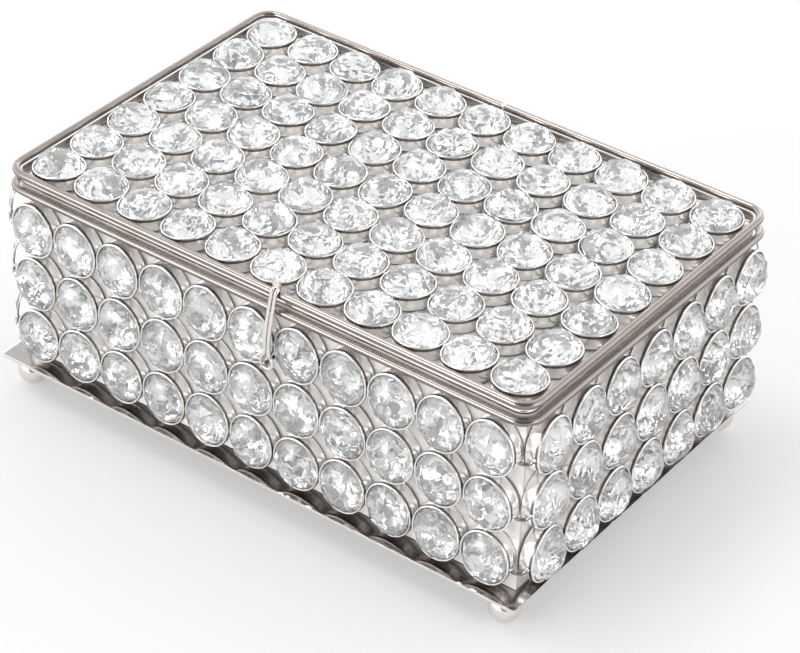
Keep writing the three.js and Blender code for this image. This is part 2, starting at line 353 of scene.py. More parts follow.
def turned(profile, sides, hollow=False):
    """A profile of (radius, height) turned about z. A hollow profile is a closed loop."""
    points, faces = [], []
    for radius, height in profile:
        for i in range(sides):
            c, s = around(i, sides)
            points.append((radius * c, radius * s, height))
    faces = grid_faces(len(profile), sides, hollow, True)
    if not hollow:
        faces.append(list(range(sides))[::-1])
        faces.append([(len(profile) - 1) * sides + i for i in range(sides)])
    return points, faces


print("a turned band of 12 sides:", len(turned([(1, 0), (1, 1)], 12)[1]), "faces")

# %% [markdown]
# ## Wire
# Wire is a circle carried along a route. The section is kept from twisting by taking each
# sideways direction from the one before. A curve object with a bevel does the same, but it
# would have to be turned into a mesh to join its heap. The route itself is a smooth line
# through a few knots, which are easy to place.

# %% Shapes swept along a route
def swept(route, radius, sides):
    """A wire of round section along a route of points."""
    side = None
    points = []
    for i, here in enumerate(route):
        ahead, behind = route[min(i + 1, len(route) - 1)], route[max(i - 1, 0)]
        along = (ahead - behind).normalized()
        if side is None:
            start = Vector((0, 0, 1)) if abs(along.z) < 0.9 else Vector((1, 0, 0))
            side = along.cross(start).normalized()
        side = (side - along * side.dot(along)).normalized()
        other = along.cross(side)
        for k in range(sides):
            c, s = around(k, sides)
            points.append(here + (side * c + other * s) * radius)
    faces = grid_faces(len(route), sides, False, True)
    faces.append(list(range(sides))[::-1])
    faces.append([(len(route) - 1) * sides + k for k in range(sides)])
    return points, faces


def smooth_route(knots, steps=6):
    """A smooth line through the knots, with even steps between each pair."""
    knots = [Vector(k) for k in knots]
    last = len(knots) - 1
    line = []
    for i in range(last):
        a, b, c, d = (knots[min(max(i + k, 0), last)] for k in (-1, 0, 1, 2))
        for s in range(steps):
            t = s / steps
            square = (2 * a - 5 * b + 4 * c - d) * t**2
            cube = (3 * b - a - 3 * c + d) * t**3
            line.append(0.5 * (2 * b + (c - a) * t + square + cube))
    return line + [knots[-1]]


print("a line through three knots:", len(smooth_route([(0, 0, 0), (1, 0, 0), (1, 1, 0)])), "points")

# %% [markdown]
# ## Plates and frames with round corners
# Sheet parts are rounded rectangles stacked at a few heights, each set in a little, which
# gives a rounded edge without a bevel modifier. Closed into a loop, the same stack makes a
# frame with a hole.

# %% Shapes lofted from rounded rectangles
def round_rectangle(half_x, half_y, corner, steps=8):
    loop = []
    centres = [(1, 1), (-1, 1), (-1, -1), (1, -1)]
    for quarter, (sx, sy) in enumerate(centres):
        for i in range(steps + 1):
            angle = (quarter + i / steps) * math.pi / 2
            x = sx * (half_x - corner) + corner * math.cos(angle)
            y = sy * (half_y - corner) + corner * math.sin(angle)
            loop.append((x, y))
    return loop


def lofted(profile, half_x, half_y, corner, steps=8, capped=True):
    """Rounded rectangles stacked by a profile of (inset, height). Capped makes a slab; if not,
    the profile is a closed loop and makes a frame with a hole."""
    points = []
    for inset, height in profile:
        loop = round_rectangle(half_x - inset, half_y - inset, max(corner - inset, 0.05), steps)
        points += [(x, y, height) for x, y in loop]
    count = 4 * (steps + 1)
    faces = grid_faces(len(profile), count, not capped, True)
    if capped:
        faces.append(list(range(count))[::-1])
        faces.append([(len(profile) - 1) * count + i for i in range(count)])
    return points, faces


print("a slab:", len(lofted([(0, 0), (0, 1)], 5, 4, 1)[1]), "faces")

# %% [markdown]
# ## Drops of solder
# Every joint on the box is a small drop that set where it ran. A ball squashed to size and
# pushed about by noise looks like one, and each gets its own seed so that no two match.

# %% A drop of solder
def blob(size, seed, sides=12, rings=7):
    """A drop of solder: a squashed ball with an uneven skin."""
    points = [(0, 0, -size[2])]
    for r in range(1, rings):
        polar = math.pi * (r / rings - 0.5)
        for i in range(sides):
            c, s = around(i, sides)
            out = Vector((c * math.cos(polar), s * math.cos(polar), math.sin(polar)))
            swell = 1 + 0.18 * noise.noise(out * 1.6 + Vector((seed, seed * 0.7, 0)))
            points.append([out[k] * size[k] * swell for k in range(3)])
    points.append((0, 0, size[2]))
    last = len(points) - 1
    faces = [[0, 1 + (i + 1) % sides, 1 + i] for i in range(sides)]
    body = grid_faces(rings - 1, sides, False, True)
    faces += [[1 + i for i in face] for face in body]
    top = 1 + (rings - 2) * sides
    faces += [[last, top + i, top + (i + 1) % sides] for i in range(sides)]
    return points, faces


print("a drop:", len(blob((1, 1, 1), 0)[1]), "faces")

# %% [markdown]
# ## Metal finishes
# All the metal is nickel plate over steel, but its surface differs from piece to piece.
# Drawn wire keeps fine lines along its length, rolled sheet is nearly a mirror with a faint
# grain and a slow waviness, and solder is duller. Each finish varies its colour and its
# roughness with noise stretched along the grain, and a small bump breaks up the reflections.
# Sheet and rings are kept a little less metallic than real metal: they face one another so
# closely that light should bounce between them many more times than a render follows.

# %% Nickel finishes
LEVEL = (60, 60, 900)  # noise drawn out sideways, as grain that runs round the box
EVEN = (500, 500, 500)
TARNISH = 0.35  # how much of the shading follows slow clouds and not the grain
SPOT = (0.25, 0.22, 0.2)


def finish_metal(name, dark, bright, rough, stretch, bump, wave=0.0, metal=1.0):
    tree = Tree(bpy.data.materials.new(name))
    grain = tree.noise(1, 3, stretch)
    cloud = tree.noise(70, 3)
    specks = tree.noise(2600, 1) ** 6
    shade = tree.blend(grain * (1 - TARNISH) + cloud * TARNISH, colour(*dark), colour(*bright))
    shade = tree.blend(specks * 0.5, shade, colour(*SPOT))
    roughness = rough[0] + (rough[1] - rough[0]) * (0.6 * grain + 0.4 * cloud)
    height = grain * 0.3
    if wave:
        height = height + tree.noise(38, 2, (1, 1, 1.6)) * wave
    normal = tree.bump(height, bump, 0.0004)
    return tree.surface(Base_Color=shade, Metallic=metal, Roughness=roughness, Normal=normal)


nickel_wire = finish_metal(
    "nickel_wire_drawn", (0.21, 0.185, 0.17), (0.34, 0.305, 0.285), (0.14, 0.24), (90, 90, 260), 0.15
)
nickel_sheet = finish_metal(
    "nickel_sheet_polished", (0.93, 0.915, 0.90), (0.97, 0.96, 0.95), (0.25, 0.4), LEVEL, 0.1, 0.1, 0.5
)
nickel_ring = finish_metal(
    "nickel_ring_bright", (0.88, 0.86, 0.835), (0.97, 0.955, 0.94), (0.07, 0.2), EVEN, 0.15, 0, 0.8
)
nickel_band = finish_metal(
    "nickel_band_soft", (0.95, 0.935, 0.92), (0.99, 0.98, 0.97), (0.05, 0.2), (700, 700, 90), 0.35, 0.5, 0.7
)
# Painted shade: a dark nickel for the strip under each ring's rolled rim, standing in for the rim's shadow.
painted_rim_shade = finish_metal(
    "nickel_painted_rim_shade", (0.14, 0.12, 0.105), (0.30, 0.265, 0.24), (0.2, 0.4), (400, 400, 400), 0.2
)
nickel_skirt = finish_metal(
    "nickel_skirt_streaked", (0.40, 0.36, 0.33), (0.82, 0.78, 0.75), (0.12, 0.3), LEVEL, 0.2
)
nickel_hasp = finish_metal(
    "nickel_hasp_bright", (0.70, 0.66, 0.63), (0.88, 0.85, 0.82), (0.08, 0.2), (300, 300, 300), 0.2
)
nickel_hinge = finish_metal(
    "nickel_hinge_satin", (0.50, 0.475, 0.46), (0.66, 0.64, 0.62), (0.16, 0.32), (300, 300, 300), 0.2
)
nickel_plate = finish_metal(
    "nickel_plate_brushed", (0.28, 0.26, 0.25), (0.40, 0.375, 0.36), (0.10, 0.22), (40, 900, 40), 0.1, 0.3
)
# Bright nickel for the feet, also put on the base plate's rounded edge as a painted highlight.
nickel_foot_and_edge_highlight = finish_metal(
    "nickel_foot_bright_and_edge_highlight", (0.74, 0.70, 0.68), (0.86, 0.83, 0.81), (0.05, 0.14), (200, 200, 200), 0.15
)
solder = finish_metal(
    "solder_dull", (0.70, 0.68, 0.67), (0.90, 0.88, 0.87), (0.15, 0.35), (900, 900, 900), 0.5
)
print("metal finishes:", [m.name for m in bpy.data.materials if m.name.startswith(("nickel", "solder"))])

# %% [markdown]
# ## Crystal
# The crystals are clear cut glass, silvered on the back so that they sparkle without light
# behind them. The crown is plain glass: faint cast marks and finger grease move its
# roughness a little and ripple the facets by a hair, and each facet gets its own grey. The
# silvering is broken into flat patches that look different ways, as a many-faceted back
# does, because so many facets would be too heavy to model.

# %% The crystal finish
GLASS_IOR = 1.62


def finish_crystal():
    tree = Tree(bpy.data.materials.new("cut_crystal"))
    smear = tree.noise(160, 3)
    facing = tree.node("ShaderNodeNewGeometry", out="Normal")
    facet = tree.node("ShaderNodeTexNoise", None, {"Vector": facing, "Scale": 5.0, "Detail": 1.0})
    tint = tree.ramp(facet, (0.4, (0.80, 0.815, 0.83)), (0.48, (0.97, 0.975, 0.98)), (0.55, (1, 1, 1)))
    ripple = tree.bump(tree.noise(420, 2), 0.02, 0.0002)
    return tree.surface(
        Base_Color=tint,
        Roughness=0.015 * smear,
        IOR=GLASS_IOR,
        Transmission_Weight=1.0,
        Normal=ripple,
    )


crystal = finish_crystal()

PATCHES = 640  # per metre
PATCH_LEAN = 1.0


def finish_silvering():
    """The silvering behind a stone: small flat patches that each look a different way."""
    tree = Tree(bpy.data.materials.new("silvered_back"))
    places = tree.node("ShaderNodeTexCoord", out="Object")
    cells = {"Vector": places, "Scale": PATCHES}
    patch = tree.node("ShaderNodeTexVoronoi", None, cells, out="Color")
    tone = tree.node("ShaderNodeSeparateXYZ", None, {0: patch})
    shade = tree.blend(tone, colour(0.82, 0.825, 0.83), colour(0.95, 0.95, 0.95))
    lean = tree.node("ShaderNodeVectorMath", {"operation": "SUBTRACT"}, {0: patch, 1: (0.5, 0.5, 0.5)})
    lean = tree.node("ShaderNodeVectorMath", {"operation": "SCALE"}, {0: lean, "Scale": PATCH_LEAN})
    flat = tree.node("ShaderNodeNewGeometry", out="Normal")
    leant = tree.node("ShaderNodeVectorMath", {"operation": "ADD"}, {0: flat, 1: lean})
    normal = tree.node("ShaderNodeVectorMath", {"operation": "NORMALIZE"}, {0: leant})
    return tree.surface(Base_Color=shade, Metallic=0.55, Roughness=0.03 + 0.08 * tone, Normal=normal)


silvering = finish_silvering()
print("crystal: refraction", GLASS_IOR, "and silvered behind")

# %% [markdown]
# ## The size of a ring and its crystal
# A ring is a slice of thin tube whose front edge is rolled in over the stone. The strip just
# under the rim lies in the shade of the rolled edge, and that shade is painted on it as a
# dark colour. A crystal has a domed crown that ends in a point, a narrow girdle that the ring
# grips, and a shallow pavilion behind. All heights are measured from the ring's back, along the ring's axis.

# %% Sizes shared by the rows
PITCH, PITCH_ACROSS, PITCH_UP = 17.0, 17.2, 19.6
RING_R = 8.35
RING_TALL = 9.35 / RING_R  # the side rings are slightly taller than wide
RING_DEPTH = 4.4
STONE_R = 7.8
GIRDLE = (3.5, 3.95)
APEX = 9.2
CULET = 0.45
RING_PROFILE = [
    (RING_R - 0.42, 0.1),
    (RING_R - 0.1, 0.0),
    (RING_R, 0.2),
    (RING_R - 0.03, 2.0),
    (RING_R, 3.3),
    (RING_R - 0.02, 4.1),
    (RING_R - 0.12, 4.4),
    (RING_R - 0.3, 4.5),
    (RING_R - 0.5, 4.42),
    (RING_R - 0.58, 4.15),
    (RING_R - 0.54, 3.9),
    (RING_R - 0.42, 3.7),
]
BAND_STRIPS, PAINTED_SHADE_STRIPS = 4, 1  # the band's outside, and the strip of it under the rim, which carries the painted shade
ROWS_ON_LID, ROWS_ON_SIDES = 7, 3
# How full a crown is: how far up its sides the main facets begin.
SHOULDERS = {"front": 0.43, "right": 0.5, "back": 0.43, "left": 0.5, "lid": 0.56}
chance = random.Random(11)
print("a ring is", 2 * RING_R, "mm wide, and a crystal stands", round(APEX - RING_DEPTH, 1), "mm out of it")

# %% [markdown]
# ## One crystal
# A cutter's wheel leaves nothing but flat facets. The same comes from a few rings of points
# wrapped in their convex hull: a closed form with only flat faces. Modelling each facet by
# hand would give the same shape, but not 185 slightly different ones.

# %% One crystal
def cut_stone(draw, shoulder):
    """The facets of one stone, with small errors of cutting drawn from a random source."""
    shift = (draw.uniform(-0.5, 0.5), draw.uniform(-0.5, 0.5))
    rise = APEX - GIRDLE[1]
    fall = GIRDLE[0] - CULET
    body = bmesh.new()
    body.verts.new((shift[0], shift[1], APEX))
    body.verts.new((0.2 * shift[1], 0.2 * shift[0], CULET))
    tiers = [  # corners, reach from the axis, height, and turn in parts of a corner
        (8, 0.48, GIRDLE[1] + (0.42 + 0.8 * shoulder) * rise, 0),
        (8, 0.83, GIRDLE[1] + shoulder * rise, 0.5),
        (16, 1.0, GIRDLE[1], 0.25),
        (16, 1.0, GIRDLE[0], 0.25),
        (8, 0.5, GIRDLE[0] - 0.64 * fall, 0.5),
    ]
    for count, reach, height, offset in tiers:
        lean = 1 - reach
        for i in range(count):
            c, s = around(i + offset, count)
            wander = draw.uniform(-0.012, 0.012) if reach < 1 else 0
            radius = STONE_R * (reach + wander)
            lift = draw.uniform(-0.05, 0.05) if reach < 1 else 0
            body.verts.new((radius * c + lean * shift[0], radius * s + lean * shift[1], height + lift))
    bmesh.ops.convex_hull(body, input=body.verts)
    bmesh.ops.recalc_face_normals(body, faces=body.faces)
    body.verts.ensure_lookup_table()
    body.verts.index_update()
    used = [v for v in body.verts if v.link_faces]
    numbers = {v: i for i, v in enumerate(used)}
    points = [v.co.copy() for v in used]
    faces = [[numbers[v] for v in f.verts] for f in body.faces]
    silvered = [int(f.calc_center_median().z < GIRDLE[0] + 0.3) for f in body.faces]
    body.free()
    return points, faces, silvered


print("one stone:", len(cut_stone(random.Random(1), SHOULDERS["front"])[1]), "facets")

# %% [markdown]
# Each face of the box is a grid of cells. A cell has its own small frame: x along the row,
# y up the face and z outwards. The ring, the stone and the solder are made in that frame
# and carried to their place by its matrix.

# %% The five faces
FACES = {
    "front": ((1, 0, 0), (0, -1, 0), 11, PITCH),
    "right": ((0, 1, 0), (1, 0, 0), 7, PITCH_ACROSS),
    "back": ((-1, 0, 0), (0, 1, 0), 11, PITCH),
    "left": ((0, -1, 0), (-1, 0, 0), 7, PITCH_ACROSS),
    "lid": ((1, 0, 0), (0, 0, 1), 11, PITCH),
}


def cell_frames(node, along, outward, count, pitch):
    """The matrices of a row's cells, on the plane of the rings' backs."""
    low, high = (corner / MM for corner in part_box(node))
    along, outward = Vector(along), Vector(outward)
    up = outward.cross(along)
    back = min(low.dot(outward), high.dot(outward))
    centre = (low + high) / 2
    centre += outward * (back - centre.dot(outward))
    turn = Matrix((along, up, outward)).transposed().to_4x4()
    frames = []
    for i in range(count):
        place = centre + along * (i - (count - 1) / 2) * pitch
        frames.append(Matrix.Translation(place) @ turn)
    return frames


def tipped(degrees, draw, twist=0.0):
    """A small random lean about the middle of the ring, and a turn about its axis."""
    pivot = Matrix.Translation((0, 0, RING_DEPTH / 2))
    lean_x = Matrix.Rotation(math.radians(draw.gauss(0, degrees)), 4, "X")
    lean_y = Matrix.Rotation(math.radians(draw.gauss(0, degrees)), 4, "Y")
    turn = Matrix.Rotation(twist, 4, "Z")
    return pivot @ lean_x @ lean_y @ turn @ pivot.inverted()


# %% [markdown]
# ## Build the rows
# Each row of the frame is one node, and here it becomes three pieces: rings, crystals and
# the drops of solder between them. No two stones sit alike, so each is twisted and tipped a
# little, from a seeded random source, which gives the same box every time.

# %% Build the rows
RING_SIDES = 40
RING_LEAN = {"lid": 1.9, "case": 1.1}  # degrees: the lid was laid by a less careful hand
STONE_LEAN = {"lid": 3.4, "case": 2.4}
BEAD_THIN, BEAD_WIDE, BEAD_TALL = 0.5, (0.45, 0.8), (0.5, 0.9)  # half sizes of a drop
BEAD_DEPTH = (2.9, 3.5)
ring_points, ring_faces = turned(RING_PROFILE, RING_SIDES, hollow=True)
ring_marks = [1] * BAND_STRIPS * RING_SIDES + [2] * PAINTED_SHADE_STRIPS * RING_SIDES
ring_marks += [0] * (len(ring_faces) - len(ring_marks))


def add_bead(beads, cell, reach, sway, above):
    """A drop of solder between two rings: above this ring, or on its left."""
    wide, tall = chance.uniform(*BEAD_WIDE), chance.uniform(*BEAD_TALL)
    shift, depth = chance.uniform(-sway, sway), chance.uniform(*BEAD_DEPTH)
    size = (wide, BEAD_THIN, tall) if above else (BEAD_THIN, wide, tall)
    spot = (shift, reach, depth) if above else (-reach, shift, depth)
    beads.add(*blob(size, chance.uniform(0, 50)), cell @ Matrix.Translation(spot))


def add_row(side, number):
    along, outward, count, pitch = FACES[side]
    node = f"stone_row_{side}_{number}"
    if side == "lid":
        body, rows, pitch_up, tall = "lid", ROWS_ON_LID, PITCH, 1.0
    else:
        body, rows, pitch_up, tall = "case", ROWS_ON_SIDES, PITCH_UP, RING_TALL
    stretch = Matrix.Diagonal((1, tall, 1, 1))
    rings, stones, beads = Heap(), Heap(), Heap()
    for i, cell in enumerate(cell_frames(node, along, outward, count, pitch)):
        seated = cell @ tipped(RING_LEAN[body], chance) @ stretch
        rings.add(ring_points, ring_faces, seated, ring_marks)
        twist = chance.uniform(0, math.pi / 4)
        seat = Matrix.Translation((0, 0, chance.uniform(-0.25, 0.05)))
        own_lean = tipped(STONE_LEAN[body], chance, twist)
        points, faces, silvered = cut_stone(chance, SHOULDERS[side])
        stones.add(points, faces, seated @ seat @ own_lean, silvered)
        if i:
            add_bead(beads, cell, pitch / 2, 0.4, above=False)
        if number < rows:
            add_bead(beads, cell, pitch_up / 2, 0.5, above=True)
    # The third finish is the painted shade on the strip under the rim.
    metals = [nickel_ring, nickel_band, painted_rim_shade]
    rings.piece(f"rings_{side}_{number}", metals, body, "stones", [node], crease=50)
    stones.piece(f"crystals_{side}_{number}", [crystal, silvering], body, "stones", crease=0)
    beads.piece(f"solder_{side}_{number}", solder, body, "nickel_sheet", crease=60)
    return count


laid = 0
for side in FACES:
    for number in range(1, (ROWS_ON_LID if side == "lid" else ROWS_ON_SIDES) + 1):
        laid += add_row(side, number)
print("stones set:", laid)

# %% [markdown]
# ## Corner links
# The end rings of two neighbouring faces don't touch. A short bent wire with a drop of
# solder ties each pair together, one at every row.

# %% The links
CORNERS = {"front_right": (1, -1), "back_right": (1, 1), "back_left": (-1, 1), "front_left": (-1, -1)}
LINK_R = 0.55
LINK_SAG = 1.6
WALL_HALF = Vector((93.4, 59.6))


def add_corner_link(corner, row):
    sx, sy = CORNERS[corner]
    node = f"corner_link_{corner}_{row}"
    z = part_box(node)[1].z / MM - 0.5
    knots = [
        (WALL_HALF.x + 0.5, WALL_HALF.y + 4.0, 0),
        (WALL_HALF.x + 1.1, WALL_HALF.y + 3.2, -0.8 * LINK_SAG),
        (WALL_HALF.x + 2.2, WALL_HALF.y + 2.3, -LINK_SAG),
        (WALL_HALF.x + 3.3, WALL_HALF.y + 1.6, -0.8 * LINK_SAG),
        (WALL_HALF.x + 4.2, WALL_HALF.y + 0.9, 0),
    ]
    route = smooth_route([(sx * x, sy * y, z + dz) for x, y, dz in knots])
    link = Heap().add(*swept(route, LINK_R, 12))
    link.piece(f"link_{corner}_{row}", nickel_wire, "case", "nickel_wire", [node])
    return route


drops = Heap()
for corner in CORNERS:
    for row in (1, 2, 3):
        route = add_corner_link(corner, row)
        for end in (route[1], route[-2]):
            size = (chance.uniform(0.5, 0.65), chance.uniform(0.5, 0.65), chance.uniform(0.5, 0.8))
            drops.add(*blob(size, chance.uniform(0, 50)), Matrix.Translation(end))
drops.piece("solder_corner_drops", solder, "case", "nickel_sheet", crease=60)
print("corner links:", 3 * len(CORNERS))

# %% [markdown]
# ## Sheet metal
# The walls, the flange and the lid's plate are cut from thin polished sheet. The flat walls
# keep their shape from the frame and only get the finish. The pieces whose edges show are
# made again with a small round on every edge, because an edge that catches no light gives a
# model away at once.

# %% Walls, plates and skirt
for side in ("front", "back", "left", "right"):
    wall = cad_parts[f"wall_{side}"]
    wall.data.materials.clear()
    wall.data.materials.append(nickel_sheet)


def plate_profile(z0, z1, edge):
    rise = edge * 0.3
    return [(edge, z0), (rise, z0 + rise), (0, z0 + edge), (0, z1 - edge), (rise, z1 - rise), (edge, z1)]


def add_plate(name, node, corner, edge, materials, body):
    """A slab whose rounded edge takes the second finish; on the base plate that brighter nickel is a painted
    highlight on the edge.
    """
    low, high = (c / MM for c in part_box(node))
    half, centre = (high - low) / 2, (low + high) / 2
    profile = plate_profile(-half.z, half.z, edge)
    points, faces = lofted(profile, half.x, half.y, corner)
    marks = [int(len(f) == 4) for f in faces]
    slab = Heap().add(points, faces, Matrix.Translation(centre), marks)
    return slab.piece(name, materials, body, "nickel_sheet", [node])


def band_profile(width, z0, z1, edge):
    return [
        (edge, z0),
        (0, z0 + edge),
        (0, z1 - edge),
        (edge, z1),
        (width - edge, z1),
        (width, z1 - edge),
        (width, z0 + edge),
        (width - edge, z0),
    ]


# The base's rounded edge gets the feet's bright nickel, a painted highlight, beside its darker flat faces.
add_plate("base_sheet", "base_plate", 0.7, 0.22, [nickel_plate, nickel_foot_and_edge_highlight], "case")
add_plate("lid_sheet", "lid_plate", 4.4, 0.15, [nickel_sheet] * 2, "lid")

low, high = (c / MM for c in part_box("rim_flange"))
FLANGE_WIDTH = 3.2
flange = Heap().add(*lofted(band_profile(FLANGE_WIDTH, low.z, high.z, 0.12), high.x, high.y, 4, capped=False))
flange.piece("rim_ledge", nickel_sheet, "case", "nickel_sheet", ["rim_flange"])

low, high = (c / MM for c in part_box("lid_skirt"))
SKIRT_T = 0.5
skirt_profile = [
    (0.08, low.z),
    (0.0, low.z + 0.1),
    (0.0, low.z + 0.9),
    (0.16, low.z + 1.1),
    (0.16, high.z - 1.1),
    (0.0, high.z - 0.9),
    (0.0, high.z - 0.1),
    (0.08, high.z),
    (SKIRT_T - 0.08, high.z),
    (SKIRT_T, high.z - 0.1),
    (SKIRT_T, low.z + 0.1),
    (SKIRT_T - 0.08, low.z),
]
skirt = Heap().add(*lofted(skirt_profile, high.x, high.y, 4.4, capped=False))
skirt.piece("lid_band", nickel_skirt, "lid", "nickel_sheet", ["lid_skirt"], crease=50)
print("sheet pieces: base, lid, ledge and band")

# %% [markdown]
# ## The two round wires
# One wire finishes the case and one the lid. Each is bent into a rectangle with round
# corners and butt-soldered in the middle of the back. A hand-bent wire is never dead
# straight, so its route wanders by a tenth of a millimetre.

# %% Wires and their joints
WIRE_R = 1.2
WIRE_CORNER = 6.0


def wire_route(half_x, half_y, z, seed):
    loop = round_rectangle(half_x, half_y, WIRE_CORNER, 10)
    first = next(i for i, (x, y) in enumerate(loop) if x < 0)
    loop = loop[first:] + loop[:first]
    corners = [(-0.15, half_y)] + loop + [(0.15, half_y)]
    route = []
    for (ax, ay), (bx, by) in zip(corners, corners[1:]):
        steps = max(1, round(math.hypot(bx - ax, by - ay) / 8))
        for s in range(steps):
            t = s / steps
            route.append(Vector((ax + (bx - ax) * t, ay + (by - ay) * t, z)))
    route.append(Vector((0.15, half_y, z)))
    for p in route[2:-2]:
        sway = p * 0.022 + Vector((seed, 0, 0))
        p += Vector((noise.noise(sway), noise.noise(sway + Vector((9, 0, 0))), 0)) * 0.14
        p.z += noise.noise(sway + Vector((0, 9, 0))) * 0.12
    return route


def add_wire(name, node, body, seed):
    low, high = (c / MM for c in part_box(node))
    route = wire_route(high.x - WIRE_R, high.y - WIRE_R, (low.z + high.z) / 2, seed)
    wire = Heap().add(*swept(route, WIRE_R, 20))
    wire.piece(name, nickel_wire, body, "nickel_wire", [node])
    joint = Heap().add(*blob((1.5, 1.32, 1.3), seed), Matrix.Translation(route[0] + Vector((0.15, 0, 0))))
    joint.piece(f"{name}_joint", solder, body, "nickel_sheet", crease=60)
    return route


rim_route = add_wire("rim_round_wire", "rim_wire", "case", 3.0)
add_wire("lid_round_wire", "lid_wire", "lid", 8.0)
print("wire length:", round(sum((b - a).length for a, b in zip(rim_route, rim_route[1:]))), "mm")

# %% [markdown]
# ## Feet
# Four hollow balls are soldered under the base plate. A short fillet of solder runs round
# the top of each, and the bottom is rubbed flat where the ball stands.

# %% The ball feet
FOOT_R = 5.0
FOOT_FLAT = 1.8
FOOT_TOP = 9.0


def foot_profile():
    centre = math.sqrt(FOOT_R**2 - FOOT_FLAT**2)
    low, high = math.asin(-centre / FOOT_R), math.asin((FOOT_TOP - 0.4 - centre) / FOOT_R)
    steps = 22
    profile = [(FOOT_FLAT * 0.5, 0.0), (FOOT_FLAT - 0.12, 0.0)]
    for i in range(1, steps + 1):
        angle = low + (high - low) * i / steps
        profile.append((FOOT_R * math.cos(angle), centre + FOOT_R * math.sin(angle)))
    neck = profile[-1][0]
    return profile + [(neck - 0.15, FOOT_TOP - 0.2), (neck + 0.1, FOOT_TOP)]


for corner in CORNERS:
    centre = middle(f"foot_{corner}")
    ball = Heap().add(*turned(foot_profile(), 40), Matrix.Translation((centre.x, centre.y, 0)))
    ball.piece(f"ball_foot_{corner}", nickel_foot_and_edge_highlight, "case", "nickel_sheet", [f"foot_{corner}"], crease=40)
print("feet: 4, each", 2 * FOOT_R, "mm across")

# %% [markdown]
# ## Hinges
# Two barrel hinges join the lid to the case along the back. On each, two short knuckles
# belong to the case and the longer one between them to the lid; a pin with domed ends runs
# through all three. A leaf is a small plate with rounded edges, soldered to its wire.

# %% Barrels, leaves and pins
BARREL_R, BARREL_BORE, PIN_R = 1.7, 1.05, 0.75
KNUCKLE, EAR, HINGE_GAP, LEAF_T = 5.0, 4.0, 0.3, 0.8
LUG_TALL = 2.0


def barrel(length, x, centre):
    half, edge = length / 2, 0.15
    profile = [
        (BARREL_BORE + edge, -half),
        (BARREL_R - edge, -half),
        (BARREL_R, -half + edge),
        (BARREL_R, half - edge),
        (BARREL_R - edge, half),
        (BARREL_BORE + edge, half),
        (BARREL_BORE, half - edge),
        (BARREL_BORE, -half + edge),
    ]
    sideways = Matrix.Rotation(math.pi / 2, 4, "Y")
    return *turned(profile, 28, hollow=True), Matrix.Translation(centre + Vector((x, 0, 0))) @ sideways


def leaf(size, at, centre):
    """A small plate with rounded edges, standing on its long side."""
    half_x, half_z, t, edge = size[0] / 2, size[2] / 2, size[1] / 2, 0.15
    points, faces = lofted(plate_profile(-t, t, edge), half_x, half_z, 0.4, 4)
    upright = Matrix.Rotation(math.pi / 2, 4, "X")
    return points, faces, Matrix.Translation(centre + Vector(at)) @ upright


def add_hinge(side, x):
    pin_centre = middle(f"hinge_{side}_pin")
    ear_x = (KNUCKLE + EAR) / 2 + HINGE_GAP
    span = KNUCKLE + 2 * EAR + 2 * HINGE_GAP
    leaf_y = {part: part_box(f"hinge_{side}_{part}_leaf")[0].y / MM for part in ("case", "lid")}
    case = Heap()
    for s in (-1, 1):
        case.add(*barrel(EAR, s * ear_x, pin_centre))
    case_y = leaf_y["case"] + LEAF_T / 2 + 0.1 - pin_centre.y
    lid_y = leaf_y["lid"] + LEAF_T / 2 - pin_centre.y
    for s in (-1, 1):
        case.add(*leaf((EAR, LEAF_T, LUG_TALL), (s * ear_x, case_y, -1.8), pin_centre))
    case.add(*leaf((span, LEAF_T, 1.2), (0, case_y, -2.8), pin_centre))
    case.piece(f"hinge_{side}_lower", nickel_hinge, "case", "nickel_sheet", [f"hinge_{side}_case_leaf"])
    lid = Heap().add(*barrel(KNUCKLE, 0, pin_centre))
    lid.add(*leaf((KNUCKLE, LEAF_T, LUG_TALL), (0, lid_y, 1.6), pin_centre))
    lid.add(*leaf((span, LEAF_T, 1.0), (0, lid_y, 2.2), pin_centre))
    lid.piece(f"hinge_{side}_upper", nickel_hinge, "lid", "nickel_sheet", [f"hinge_{side}_lid_leaf"])
    half = span / 2 + 0.4
    profile = [(0.2, -half), (0.55, -half + 0.06), (PIN_R, -half + 0.3)]
    profile += [(r, -z) for r, z in reversed(profile)]
    place = Matrix.Translation(pin_centre) @ Matrix.Rotation(math.pi / 2, 4, "Y")
    pin = Heap().add(*turned(profile, 20), place)
    pin.piece(f"hinge_{side}_rod", nickel_wire, "case", "nickel_wire", [f"hinge_{side}_pin"])


add_hinge("left", -50)
add_hinge("right", 50)
print("hinges: 2")

# %% [markdown]
# ## Hasp
# The catch is one piece of wire folded in half. The fold opens into an eye that drops over
# a headed stud, the two legs run up side by side and curl over the lid wire, and a pointed
# tab on top gives the thumb something to lift.

# %% The hasp
HASP_R = 0.6
HASP_LEGS = 0.75
HASP_REACH = 5.2
EYE_Z = 56.3
EYE = 2.0
WIRE_PLAY = 0.3  # between the lid's wire and the hasp's
TAB_Y, TAB_TILT = -0.45, 88
TAB_WIDTHS = [(1.2, 0.0), (1.3, 0.35), (1.15, 1.6), (0.95, 2.5), (0.6, 3.3), (0.28, 3.9)]


def hasp_knots(sx, pivot_z):
    eye = EYE_Z - pivot_z
    over = WIRE_R + WIRE_PLAY + HASP_R
    knots = [(HASP_LEGS, -0.5, over + 1.4)]
    for degrees in (104, 120, 138, 155, 172):
        a = math.radians(degrees)
        knots.append((HASP_LEGS, over * math.cos(a), over * math.sin(a)))
    knots += [
        (HASP_LEGS, -HASP_REACH + 0.55, (eye + 3.6) * 0.6),
        (HASP_LEGS, -HASP_REACH, eye + 3.6),
        (0.8 * EYE, -HASP_REACH, eye + 1.9),
        (EYE, -HASP_REACH, eye + 0.2),
        (0.75 * EYE, -HASP_REACH, eye - 1.4),
    ]
    return [(sx * x, y, z) for x, y, z in knots]


